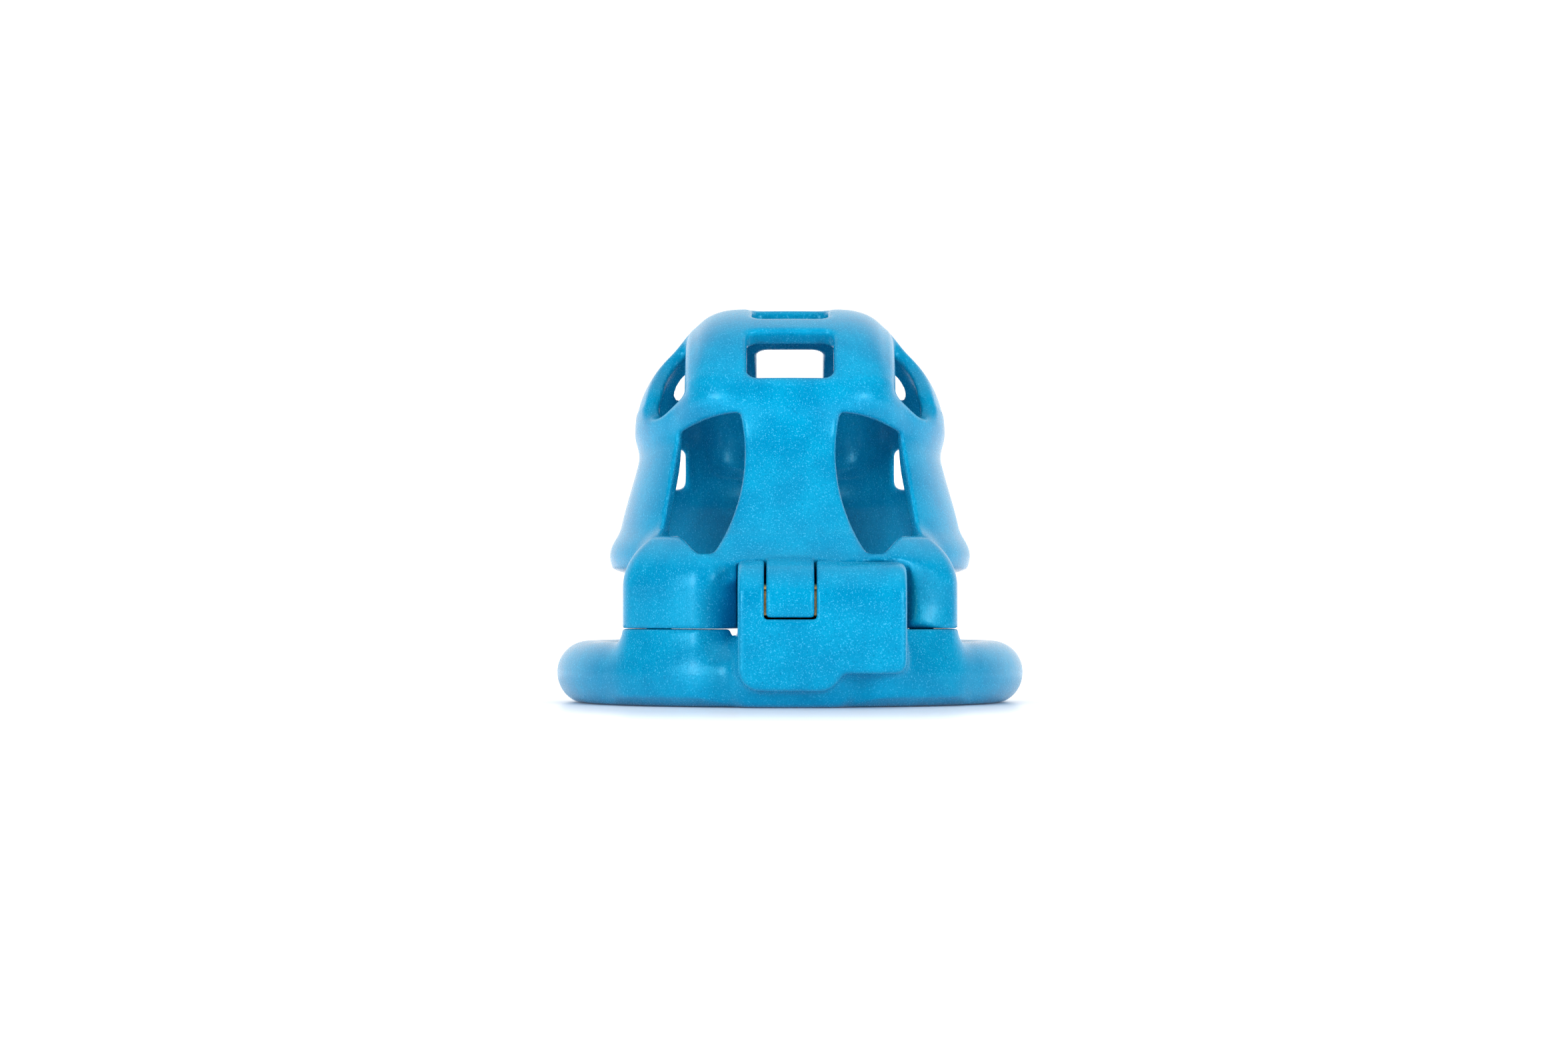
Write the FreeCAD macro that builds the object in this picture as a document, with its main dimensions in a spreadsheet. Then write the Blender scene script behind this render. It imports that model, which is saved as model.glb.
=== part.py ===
import FreeCAD, Part
import math
import os
import re

# A small locking wearable cage: a printed base ring with a lock housing, a printed
# cage that hooks into it, and a brass wafer lock that turns a double-D spindle.
# Millimetres. +Z is up, the ring's flat underside is at Z = 0, -Y is the lock side.

doc = FreeCAD.newDocument("locking_cage")
sheet = doc.addObject("Spreadsheet::Sheet", "Sizes")

# ---------------------------------------------------------------- driving dimensions
DIMENSIONS = {
    # base ring: a round bar bent into a ring, flattened where it stands
    "ring_inner_r": 22.9,
    "ring_bore_r": 22.97,
    "bar_r": 4.1,
    "bar_flat": 0.1,
    "ring_y": 1.45,
    # seam between the ring's pedestals and the cage's feet
    "seam_z": 10.05,
    "seam_gap": 0.06,
    "foot_outer_r": 30.2,
    "foot_top_z": 21.4,
    "foot_start": 17.0,
    "foot_sweep": 30.0,
    "foot_round": 2.6,
    "peg_r": 1.4,
    "peg_height": 2.4,
    "peg_angle": 40.0,
    "peg_circle": 26.5,
    "peg_clearance": 0.25,
    # lock housing on the ring
    "lock_out": 28.5,
    "lock_z": 13.4,
    "housing_r": 5.5,
    "post_half": 6.7,
    "post_bottom": 1.4,
    "barrel_end": 14.8,
    "barrel_bottom": 4.4,
    "slot_half": 3.4,
    "slot_floor": 11.2,
    "edge_round": 1.3,
    "pocket_start": 4.45,
    "pocket_end": 6.0,
    "pocket_r": 3.7,
    # tongue of the cage
    "tongue_half": 3.05,
    "tongue_bottom": 11.6,
    "tongue_bore_r": 2.65,
    "housing_gap": 0.2,
    # cage wall: a tube that narrows to a collar and closes in a dome
    "wall": 2.8,
    "skirt_r": 23.1,
    "skirt_z": 18.3,
    "skirt_half_angle": 43.0,
    "rim_r": 21.8,
    "rim_bar_r": 2.2,
    "rim_z": 19.6,
    "lean": 11.5,
    "head_z": 36.0,
    "head_shift": 2.5,
    "head_r": 20.8,
    "head_height": 16.5,
    # windows in the lower band
    "spine_arc_r": 23.17,
    "spine_arc_x": 29.06,
    "spine_arc_z": 32.7,
    "window_out": 15.4,
    "window_low": 20.4,
    "window_high": 37.0,
    "rear_window_in": 14.4,
    "rear_window_low": 27.0,
    "rear_window_high": 34.2,
    "rear_window_front": 4.0,
    # windows in the head, beside a strap and an arch that cross at its top
    "strap_half": 13.9,
    "arch_half": 5.0,
    "strap_r": 21.2,
    "strap_height": 16.95,
    "strap_round": 4.5,
    "side_window_low": 0.6,
    "back_window_low": 4.4,
    "window_round": 1.0,
    "front_slot_start": 8.5,
    "front_slot_end": 38.0,
    "front_slot_half": 5.7,
    "top_slot_start": 50.0,
    "top_slot_end": 78.0,
    "top_slot_half": 5.05,
    "back_slot_start": 111.0,
    "back_slot_end": 142.5,
    "back_slot_half": 4.55,
    "flare_half": 10.5,
    "flare_r": 8.0,
    "flare_top": 27.1,
    # lock cartridge
    "sleeve_r": 3.7,
    "sleeve_start": 4.4,
    "sleeve_end": 14.3,
    "key_rib_half": 0.75,
    "key_rib_r": 4.3,
    "plug_r": 2.6,
    "running_gap": 0.04,
    "print_fit": 0.1,
    "slot_fit": 0.05,
    "way_room": 0.12,
    "stop_groove_half": 0.45,
    "spindle_r": 2.5,
    "spindle_half": 1.75,
    "lug_r": 3.45,
    "lug_half": 0.75,
    "lug_start": 4.55,
    "lug_end": 5.8,
    "tenon_half": 1.1,
    "tenon_end": 7.2,
    "cross_pin_x": 6.35,
    "cross_pin_r": 0.35,
    "stop_x": 5.1,
    "stop_pin_r": 0.4,
    "stop_groove_r": 2.0,
    "plug_end": 14.2,
    "keyway_half": 0.55,
    "keyway_high": 1.4,
    "keyway_low": 1.7,
    "wafer_first_x": 8.1,
    "wafer_pitch": 1.2,
    "wafer_thick": 0.7,
    "wafer_half": 1.2,
    "wafer_half_height": 2.25,
    "wafer_travel": 0.6,
    "ear_out": 2.0,
    "ear_half": 0.3,
    "spring_y": 1.6,
    "spring_r": 0.22,
    "spring_wire_r": 0.06,
    "spring_pitch": 0.2,
    "spring_turns": 4.0,
}

# the tube's stations from the seam up to the collar: height, radius, how far the
# middle has moved back, and how much of the head's lean the station has
TUBE_STATIONS = [
    (17.4, 23.1, 0.0, 0.0),
    (19.8, 23.2, 0.0, 0.0),
    (23.0, 22.8, 0.2, 0.05),
    (27.0, 21.8, 0.8, 0.3),
    (30.5, 20.7, 1.5, 0.6),
    (33.4, 19.9, 2.1, 0.85),
]
# how far up the dome each of its stations lies, in degrees
DOME_STATIONS = [0, 14, 28, 42, 55, 67, 78]
# height of the key hole's middle in each wafer, which is the lock's code
WAFER_CODE = [0.25, -0.15, 0.1, -0.3, 0.2]

for row, (name, value) in enumerate(DIMENSIONS.items(), start=1):
    sheet.set(f"A{row}", name)
    sheet.set(f"B{row}", str(value))
    sheet.setAlias(f"B{row}", name)
doc.recompute()

WORD = re.compile(r"[a-z_][a-z0-9_]*")


def linked(text):
    """An expression in the sheet's names, with each name pointing at its cell."""
    return WORD.sub(lambda m: "Sizes." + m[0] if m[0] in DIMENSIONS else m[0], str(text))


def bind(item, **texts):
    for prop, text in texts.items():
        item.setExpression(prop, linked(text))
    return item


def put(item, x=0, y=0, z=0, turn=None):
    """Places item at three bound coordinates, turned by a fixed rotation."""
    if turn is not None:
        item.Placement = FreeCAD.Placement(FreeCAD.Vector(), turn)
    for axis, text in zip("xyz", (x, y, z)):
        item.setExpression("Placement.Base." + axis, linked(text))
    return item


def rotation(axis, degrees):
    return FreeCAD.Rotation(FreeCAD.Vector(*axis), degrees)


ALONG_X = rotation((0, 1, 0), 90)
ALONG_Y = rotation((1, 0, 0), -90)


def box(name, x, y, z):
    """A box between two bound values on each axis."""
    item = doc.addObject("Part::Box", name)
    bind(item, Length=f"({x[1]})-({x[0]})", Width=f"({y[1]})-({y[0]})", Height=f"({z[1]})-({z[0]})")
    return put(item, x[0], y[0], z[0])


def rod(name, radius, length, x, y, z, turn=None, sweep=None):
    item = doc.addObject("Part::Cylinder", name)
    bind(item, Radius=radius, Height=length)
    if sweep is not None:
        bind(item, Angle=sweep)
    return put(item, x, y, z, turn)


def fuse(name, *items):
    item = doc.addObject("Part::MultiFuse", name)
    item.Shapes = list(items)
    item.Refine = True
    return item


def cut(name, base, *tools):
    item = doc.addObject("Part::Cut", name)
    item.Base = base
    item.Tool = tools[0] if len(tools) == 1 else fuse(name + "_tools", *tools)
    item.Refine = True
    return item


def common(name, *items):
    item = doc.addObject("Part::MultiCommon", name)
    item.Shapes = list(items)
    return item


def rounded(name, base, radius, chosen):
    """base with the edges that chosen(edge) picks rounded to the sheet's radius."""
    doc.recompute()
    r = float(sheet.get(radius))
    picked = [(i, r, r) for i, e in enumerate(base.Shape.Edges, start=1) if chosen(e)]
    item = doc.addObject("Part::Fillet", name)
    item.Base = base
    item.Edges = picked
    return item


def size(name):
    return float(sheet.get(name))


LOCK_Y = "ring_y-lock_out"


def lock_rod(name, radius, start, end):
    """A cylinder on the lock's axis, from one X to another."""
    return rod(name, radius, f"({end})-({start})", start, LOCK_Y, "lock_z", ALONG_X)


def foot_block(name, side, low, high, inner):
    """The arc block that is a pedestal below the seam and a foot above it."""
    start = -90 + side * size("foot_start") - (size("foot_sweep") if side < 0 else 0)
    sector = rod(name + "_sector", "foot_outer_r", f"({high})-({low})", 0, "ring_y", low,
                 rotation((0, 0, 1), start), "foot_sweep")
    hole = rod(name + "_hole", inner, f"({high})-({low})+2", 0, "ring_y", f"({low})-1")
    return rounded(name, cut(name + "_arc", sector, hole), "foot_round", is_upright)


def is_upright(edge):
    a, b = edge.Vertexes[0].Point, edge.Vertexes[-1].Point
    return abs(a.x - b.x) < 1e-6 and abs(a.y - b.y) < 1e-6 and abs(a.z - b.z) > 1


def housing_body(name, x0, x1, low, grow="0"):
    """An upright slab along X with a half-round top on the lock's axis."""
    radius = f"housing_r+{grow}"
    top = lock_rod(name + "_top", radius, x0, x1)
    slab = box(name + "_slab", (x0, x1), (f"{LOCK_Y}-({radius})", f"{LOCK_Y}+{radius}"), (low, "lock_z"))
    return fuse(name, top, slab)


# ---------------------------------------------------------------- base ring
def make_base_ring():
    bar = doc.addObject("Part::Torus", "ring_bar")
    bind(bar, Radius1="ring_inner_r+bar_r", Radius2="bar_r")
    put(bar, 0, "ring_y", "bar_r-bar_flat")
    below = box("below_floor", ("-40", "40"), ("-40", "40"), ("-10", "0"))
    pedestals = [foot_block(f"pedestal_{n}", side, "bar_r", "seam_z", "ring_inner_r+1")
                 for n, side in (("left", -1), ("right", 1))]

    def is_end_edge(edge):
        return abs(edge.BoundBox.XLength) < 1e-6

    post = housing_body("post", "-post_half", "post_half", "post_bottom")
    barrel = housing_body("barrel_shell", "post_half-1", "barrel_end", "barrel_bottom")
    barrel = rounded("barrel_rounded", barrel, "edge_round",
                     lambda e: is_end_edge(e) and e.CenterOfMass.x > size("post_half"))
    body = fuse("ring_body", bar, *pedestals, post, barrel)

    slot = box("tongue_slot", ("-slot_half", "slot_half"),
               (f"{LOCK_Y}-housing_r-1", f"{LOCK_Y}+housing_r+1"), ("slot_floor", "lock_z+housing_r+1"))
    sleeve_bore = lock_rod("sleeve_bore", "sleeve_r+running_gap", "sleeve_start-0.04", "barrel_end+1")
    rib_groove = box("rib_groove", ("sleeve_start-0.04", "barrel_end+1"),
                     (f"{LOCK_Y}-key_rib_half-print_fit", f"{LOCK_Y}+key_rib_half+print_fit"),
                     ("lock_z-key_rib_r-print_fit", "lock_z"))
    spindle_bore = lock_rod("spindle_bore", "tongue_bore_r", "-pocket_end", "sleeve_start+0.5")
    lug_way = box("lug_way", ("-pocket_start-0.1", "sleeve_start+0.5"),
                  (f"{LOCK_Y}-lug_half-0.15", f"{LOCK_Y}+lug_half+0.15"),
                  ("lock_z-lug_r-print_fit", "lock_z"))
    pocket = lock_rod("lug_pocket", "pocket_r", "-pocket_end", "-pocket_start")
    land = rod("ring_land", "ring_bore_r", "30", "0", "ring_y", "-10")
    ring = cut("ring_cut", body, below, land, slot, sleeve_bore, rib_groove, spindle_bore, lug_way, pocket)

    pegs = []
    for n, side in (("left", -1), ("right", 1)):
        angle = math.radians(size("peg_angle"))
        x = f"{side * math.sin(angle)}*peg_circle"
        y = f"ring_y-{math.cos(angle)}*peg_circle"
        pegs.append(rod(f"peg_{n}", "peg_r", "peg_height+1", x, y, "seam_z-1"))
        tip = doc.addObject("Part::Cone", f"peg_tip_{n}")
        bind(tip, Radius1="peg_r", Radius2="peg_r-0.6", Height="0.6")
        pegs.append(put(tip, x, y, "seam_z+peg_height"))
    return fuse("base_ring", ring, *pegs)


# ---------------------------------------------------------------- cage
def station(name, radius, y, z, lean):
    ring = doc.addObject("Part::Circle", name)
    bind(ring, Radius=radius)
    return put(ring, 0, y, z, rotation((1, 0, 0), -lean))


def cage_loft(name, inset, bottom):
    """The tube and the dome as one smooth skin, moved inwards by inset."""
    lean = size("lean")
    rings = [station(f"{name}_foot_{i}", f"skirt_r-{inset}", "ring_y", z, 0) for i, z in enumerate(bottom)]
    for i, (z, radius, shift, share) in enumerate(TUBE_STATIONS):
        rings.append(station(f"{name}_tube_{i}", f"{radius}-{inset}", f"ring_y+{shift}", z, lean * share))
    back, up = math.sin(math.radians(lean)), math.cos(math.radians(lean))
    for degrees in DOME_STATIONS:
        rise, reach = math.sin(math.radians(degrees)), math.cos(math.radians(degrees))
        rings.append(station(f"{name}_dome_{degrees}", f"(head_r-{inset})*{reach}",
                             f"ring_y+head_shift+(head_height-{inset})*{rise * back}",
                             f"head_z+(head_height-{inset})*{rise * up}", lean))
    loft = doc.addObject("Part::Loft", name)
    loft.Sections = rings
    loft.Solid = True
    loft.Ruled = False
    return loft


def strap_block(name, inset):
    """The band that runs over the dome from front to back, with an oval side view."""
    oval = doc.addObject("Part::Ellipse", name + "_oval")
    bind(oval, MajorRadius=f"strap_r-{inset}", MinorRadius=f"strap_height-{inset}")
    lean = rotation((1, 0, 0), -size("lean"))
    y_axis, z_axis, x_axis = (FreeCAD.Vector(*axis) for axis in ((0, 1, 0), (0, 0, 1), (1, 0, 0)))
    upright = FreeCAD.Rotation(y_axis, z_axis, x_axis, "ZXY")
    put(oval, f"-strap_half+{inset}", "ring_y+head_shift", "head_z", lean * upright)
    band = doc.addObject("Part::Extrusion", name + "_band")
    band.Base = oval
    band.DirMode = "Custom"
    band.Dir = FreeCAD.Vector(1, 0, 0)
    band.Solid = True
    bind(band, LengthFwd=f"2*(strap_half-{inset})")
    band = rounded(name + "_rounded", band, "strap_round", lambda e: True)
    half = (20, 30, 15)
    centre = lean.multVec(FreeCAD.Vector(0, 0, 1.5 - half[2]))
    return cut(name, band, head_box(name + "_below", centre, half, lean))


def front_window(name, side):
    """A window beside the spine: straight outside, an arc along the spine."""
    arc = rod(name + "_arc", "spine_arc_r", "30", f"{side}*spine_arc_x", "-32", "spine_arc_z", ALONG_Y)
    span = ("-window_out", "-3") if side < 0 else ("3", "window_out")
    frame = box(name + "_frame", span, ("-32", "-6"), ("window_low", "window_high"))
    frame = rounded(name + "_frame_round", frame, "window_round",
                    lambda e: abs(e.BoundBox.YLength) > 5 and side * e.CenterOfMass.x > 10)
    return common(name, arc, frame)


def rear_window(name, side):
    span = ("-30", "-rear_window_in") if side < 0 else ("rear_window_in", "30")
    block = box(name + "_block", span, ("rear_window_front", "40"), ("rear_window_low", "rear_window_high"))
    return rounded(name, block, "foot_round", lambda e: True)


def head_point(degrees):
    """A point on the head's middle outline, as (y, z) from the head's centre."""
    a, lean = math.radians(degrees), math.radians(size("lean"))
    front, up = size("head_r") * math.cos(a), size("head_height") * math.sin(a)
    return (-front * math.cos(lean) + up * math.sin(lean), front * math.sin(lean) + up * math.cos(lean))


def head_box(name, centre, half, turn):
    """A box about a point given from the head's centre, turned about X."""
    block = doc.addObject("Part::Box", name)
    bind(block, Length=f"2*({half[0]})", Width=f"2*({half[1]})", Height=f"2*({half[2]})")
    corner = turn.multVec(FreeCAD.Vector(*[-value for value in half]))
    return put(block, centre[0] + corner.x, f"ring_y+head_shift+({centre[1] + corner.y})",
               f"head_z+({centre[2] + corner.z})", turn)


def head_slot(name):
    """A slot across the middle of the head, cut square to the head's wall."""
    a, b = head_point(size(name + "_start")), head_point(size(name + "_end"))
    long = math.hypot(b[0] - a[0], b[1] - a[1])
    turn = rotation((1, 0, 0), math.degrees(math.atan2(b[1] - a[1], b[0] - a[0])))
    block = head_box(name + "_block", (0, (a[0] + b[0]) / 2, (a[1] + b[1]) / 2),
                     (size(name + "_half"), long / 2, 7), turn)
    doc.recompute()
    across = turn.multVec(FreeCAD.Vector(0, 0, 1))
    return rounded(name, block, "edge_round",
                   lambda e: abs(e.tangentAt(e.FirstParameter).dot(across)) > 0.99)


def side_window(name, side, end, low):
    """The opening in one quarter of the dome, between its strap, its arch and its collar."""
    lean = rotation((1, 0, 0), -size("lean"))
    half = (8, 12, 12)
    centre = lean.multVec(FreeCAD.Vector(side * (size("strap_half") + half[0]),
                                         end * (size("arch_half") + half[1]), size(low) + half[2]))
    return head_box(name, centre, half, lean)


def make_cage():
    rim = doc.addObject("Part::Torus", "rim")
    bind(rim, Radius1="rim_r", Radius2="rim_bar_r")
    put(rim, 0, "ring_y", "rim_z", rotation((0, 0, 1), 37))
    feet = [foot_block(f"foot_{n}", side, "seam_z+seam_gap", "foot_top_z", "skirt_r-wall-1")
            for n, side in (("left", -1), ("right", 1))]
    below_skirt = rod("below_skirt", "40", "skirt_z-5", 0, "ring_y", "5",
                      rotation((0, 0, 1), -90 + size("skirt_half_angle")), "360-2*skirt_half_angle")
    tube = cut("tube", cage_loft("tube_outside", "0", [size("seam_z") + size("seam_gap"), 14]), below_skirt)
    flare = box("flare_block", ("-flare_half", "flare_half"), (LOCK_Y, "-14"), ("lock_z+3", "flare_top"))
    hollow = rod("flare_hollow", "flare_r", "40", "-20", f"{LOCK_Y}-1.1", "flare_top", ALONG_X)
    flare = cut("flare", flare, hollow)
    outer = fuse("cage_outer", tube, rim, *feet, flare, strap_block("strap", "0"))
    shell = cut("cage_shell", outer, cage_loft("cage_inner", "wall", [5, 12]))

    room = [housing_body("post_room", "-post_half-housing_gap", "post_half+housing_gap", "0", "housing_gap"),
            housing_body("barrel_room", "post_half", "barrel_end+housing_gap", "0", "housing_gap"),
            lock_rod("cartridge_room", "key_rib_r+0.15", "barrel_end", "barrel_end+15")]
    openings = []
    for n, side in (("left", -1), ("right", 1)):
        openings.append(front_window(f"front_window_{n}", side))
        openings.append(rear_window(f"rear_window_{n}", side))
        openings.append(side_window(f"side_window_{n}", side, -1, "side_window_low"))
        openings.append(side_window(f"back_window_{n}", side, 1, "back_window_low"))
    openings += [head_slot(name) for name in ("front_slot", "top_slot", "back_slot")]
    windowed = cut("cage_windowed", shell, *room, *openings)

    tongue_round = lock_rod("tongue_round", "housing_r", "-tongue_half", "tongue_half")
    tongue_root = box("tongue_root", ("-tongue_half", "tongue_half"), (LOCK_Y, "ring_y-skirt_r+wall-0.8"),
                      ("tongue_bottom", "lock_z+housing_r+0.8"))
    tongue_under = box("tongue_under", ("-5", "5"), ("-40", "0"), ("-5", "tongue_bottom"))
    tongue_bore = lock_rod("tongue_bore", "tongue_bore_r", "-tongue_half-1", "tongue_half+1")
    tongue = cut("tongue", fuse("tongue_solid", tongue_round, tongue_root), tongue_under, tongue_bore)
    joined = fuse("cage_joined", windowed, tongue)

    holes = []
    for n, side in (("left", -1), ("right", 1)):
        angle = math.radians(size("peg_angle"))
        holes.append(rod(f"peg_hole_{n}", "peg_r+peg_clearance", "peg_height+2",
                         f"{side * math.sin(angle)}*peg_circle", f"ring_y-{math.cos(angle)}*peg_circle",
                         "seam_z-1"))
    return cut("cage", joined, *holes)


# ---------------------------------------------------------------- lock cartridge
def make_sleeve():
    barrel = lock_rod("sleeve_barrel", "sleeve_r", "sleeve_start", "sleeve_end")
    rib = box("sleeve_rib", ("sleeve_start", "sleeve_end"),
              (f"{LOCK_Y}-key_rib_half", f"{LOCK_Y}+key_rib_half"),
              ("lock_z-key_rib_r", "lock_z-plug_r-0.5"))
    rib = common("sleeve_rib_trim", rib, lock_rod("rib_trim", "key_rib_r", "sleeve_start", "sleeve_end"))
    bore = lock_rod("plug_bore", "plug_r+running_gap", "sleeve_start-1", "sleeve_end+1")
    ways = [box("wafer_way_up", ("wafer_first_x-1", "sleeve_end-0.9"),
                (f"{LOCK_Y}-wafer_half-way_room", f"{LOCK_Y}+wafer_half+way_room"),
                ("lock_z", "lock_z+wafer_half_height+wafer_travel+way_room")),
            box("wafer_way_front", ("wafer_first_x-1", "sleeve_end-0.9"),
                (f"{LOCK_Y}-wafer_half_height-wafer_travel-way_room", LOCK_Y),
                ("lock_z-wafer_half-way_room", "lock_z+wafer_half+way_room"))]
    pin_hole = rod("stop_pin_hole", "stop_pin_r", "sleeve_r", "stop_x", LOCK_Y, "lock_z", ALONG_Y)
    return cut("lock_sleeve", fuse("sleeve_solid", barrel, rib), bore, *ways, pin_hole)


def make_stop_pin():
    pin = rod("stop_pin_rod", "stop_pin_r", "sleeve_r-stop_groove_r-0.25", "stop_x",
              f"{LOCK_Y}+stop_groove_r+0.15", "lock_z", ALONG_Y)
    return common("stop_pin", pin, lock_rod("stop_pin_trim", "sleeve_r", "stop_x-2", "stop_x+2"))


def wafer_x(index):
    return f"wafer_first_x+{index}*wafer_pitch"


def make_plug():
    body = lock_rod("plug_body", "plug_r", "sleeve_start", "plug_end")
    tenon_hole = box("tenon_hole", ("sleeve_start-1", "tenon_end+0.02"),
                     (f"{LOCK_Y}-tenon_half-0.01", f"{LOCK_Y}+tenon_half+0.01"),
                     ("lock_z-tenon_half-0.01", "lock_z+tenon_half+0.01"))
    cross_hole = rod("cross_hole", "cross_pin_r", "2*plug_r+2", "cross_pin_x", LOCK_Y, "lock_z-plug_r-1")
    keyway = box("keyway", ("tenon_end+0.25", "barrel_end+1"),
                 (f"{LOCK_Y}-keyway_half", f"{LOCK_Y}+keyway_half"),
                 ("lock_z-keyway_low", "lock_z+keyway_high"))
    stop_ring = lock_rod("stop_ring", "plug_r+1", "stop_x-stop_groove_half", "stop_x+stop_groove_half")
    stop_core = lock_rod("stop_core", "stop_groove_r", "stop_x-1", "stop_x+1")
    # the groove runs from the back of the plug down to its underside, with room for the pin
    stop_arc = rod("stop_arc", "plug_r+2", "3", "stop_x-1.5", LOCK_Y, "lock_z",
                   rotation((0, 1, 0), 90) * rotation((0, 0, 1), -14), "118")
    stop_groove = common("stop_groove", cut("stop_ring_hollow", stop_ring, stop_core), stop_arc)
    tools = [tenon_hole, cross_hole, keyway, stop_groove]
    for i in range(len(WAFER_CODE)):
        x = (f"{wafer_x(i)}-wafer_thick/2-slot_fit", f"{wafer_x(i)}+wafer_thick/2+slot_fit")
        tools.append(box(f"wafer_slot_{i + 1}", x,
                         (f"{LOCK_Y}-wafer_half-slot_fit", f"{LOCK_Y}+wafer_half+slot_fit"),
                         ("lock_z-plug_r-1", "lock_z+plug_r+1")))
        tools.append(box(f"ear_slot_{i + 1}", x, (LOCK_Y, f"{LOCK_Y}+ear_out+slot_fit"),
                         ("lock_z-ear_half-spring_pitch*(spring_turns+1)",
                          "lock_z+ear_half+wafer_travel+way_room")))
    return cut("lock_plug", body, *tools)


def make_spindle():
    bar = lock_rod("spindle_bar", "spindle_r", "-lug_end", "sleeve_start-0.02")
    flats = box("spindle_flats", ("-10", "10"), (f"{LOCK_Y}-spindle_half", f"{LOCK_Y}+spindle_half"),
                ("lock_z-5", "lock_z+5"))
    blade = common("spindle_blade", bar, flats)
    tenon = box("tenon", ("sleeve_start-0.5", "tenon_end"), (f"{LOCK_Y}-tenon_half", f"{LOCK_Y}+tenon_half"),
                ("lock_z-tenon_half", "lock_z+tenon_half"))
    lug = box("lug_block", ("-lug_end", "-lug_start"), (f"{LOCK_Y}-lug_half", f"{LOCK_Y}+lug_half"),
              ("lock_z-lug_r", "lock_z"))
    lug = common("lug", lug, lock_rod("lug_trim", "lug_r", "-lug_end", "-lug_start"))
    solid = fuse("spindle_solid", blade, tenon, lug)
    return cut("locking_spindle", solid,
               rod("spindle_cross_hole", "cross_pin_r", "10", "cross_pin_x", LOCK_Y, "lock_z-5"))


def make_cross_pin():
    return rod("spindle_pin", "cross_pin_r", "2*plug_r-0.2", "cross_pin_x", LOCK_Y, "lock_z-plug_r+0.1")


def make_wafer(index, key_height):
    x = (f"{wafer_x(index)}-wafer_thick/2", f"{wafer_x(index)}+wafer_thick/2")
    number = index + 1
    plate = box(f"wafer_plate_{number}", x, (f"{LOCK_Y}-wafer_half", f"{LOCK_Y}+wafer_half"),
                ("lock_z-wafer_half_height", "lock_z+wafer_half_height"))
    ear = box(f"wafer_ear_{number}", x, (f"{LOCK_Y}+wafer_half-0.2", f"{LOCK_Y}+ear_out"),
              ("lock_z-ear_half", "lock_z+ear_half"))
    hole = box(f"key_hole_{number}", (x[0] + "-1", x[1] + "+1"),
               (f"{LOCK_Y}-keyway_half-0.1", f"{LOCK_Y}+keyway_half+0.1"),
               (f"lock_z-1+({key_height})", f"lock_z+1+({key_height})"))
    return cut(f"wafer_{number}", fuse(f"wafer_solid_{number}", plate, ear), hole)


def make_wafer_spring(index):
    number = index + 1
    low = "lock_z-ear_half-spring_pitch*spring_turns-spring_wire_r-0.03"
    helix = doc.addObject("Part::Helix", f"spring_path_{number}")
    bind(helix, Pitch="spring_pitch", Height="spring_pitch*spring_turns", Radius="spring_r")
    put(helix, wafer_x(index), f"{LOCK_Y}+spring_y", low)
    wire = doc.addObject("Part::Circle", f"spring_wire_{number}")
    bind(wire, Radius="spring_wire_r")
    put(wire, f"{wafer_x(index)}+spring_r", f"{LOCK_Y}+spring_y", low, rotation((1, 0, 0), 90))
    coil = doc.addObject("Part::Sweep", f"wafer_spring_{number}")
    coil.Sections = [wire]
    coil.Spine = (helix, ["Edge1"])
    coil.Solid = True
    coil.Frenet = True
    return coil


# ---------------------------------------------------------------- build and write
def main():
    nodes = {"base_ring": make_base_ring(), "cage": make_cage(), "lock_sleeve": make_sleeve(),
             "stop_pin": make_stop_pin(), "lock_plug": make_plug(), "locking_spindle": make_spindle(),
             "spindle_pin": make_cross_pin()}
    for index, key_height in enumerate(WAFER_CODE):
        nodes[f"wafer_{index + 1}"] = make_wafer(index, key_height)
        nodes[f"wafer_spring_{index + 1}"] = make_wafer_spring(index)
    doc.recompute()

    failed = [o.Name for o in doc.Objects if "Invalid" in o.State or "Error" in o.State]
    if failed:
        raise RuntimeError(f"these features failed: {failed}")
    for name, item in nodes.items():
        item.Label = name
        shape = item.Shape
        if shape.isNull() or not shape.isValid() or len(shape.Solids) != 1:
            raise RuntimeError(f"{name} is not one valid solid")
    os.makedirs("parts", exist_ok=True)
    for name, item in nodes.items():
        item.Shape.exportStep(os.path.join("parts", name + ".step"))
        bounds = item.Shape.BoundBox
        print(f"{name}: {len(item.Shape.Solids)} solid, {item.Shape.Volume:.2f} mm3, "
              f"x {bounds.XMin:.2f} {bounds.XMax:.2f} y {bounds.YMin:.2f} {bounds.YMax:.2f} "
              f"z {bounds.ZMin:.2f} {bounds.ZMax:.2f}")


main()
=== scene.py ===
import math

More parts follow.
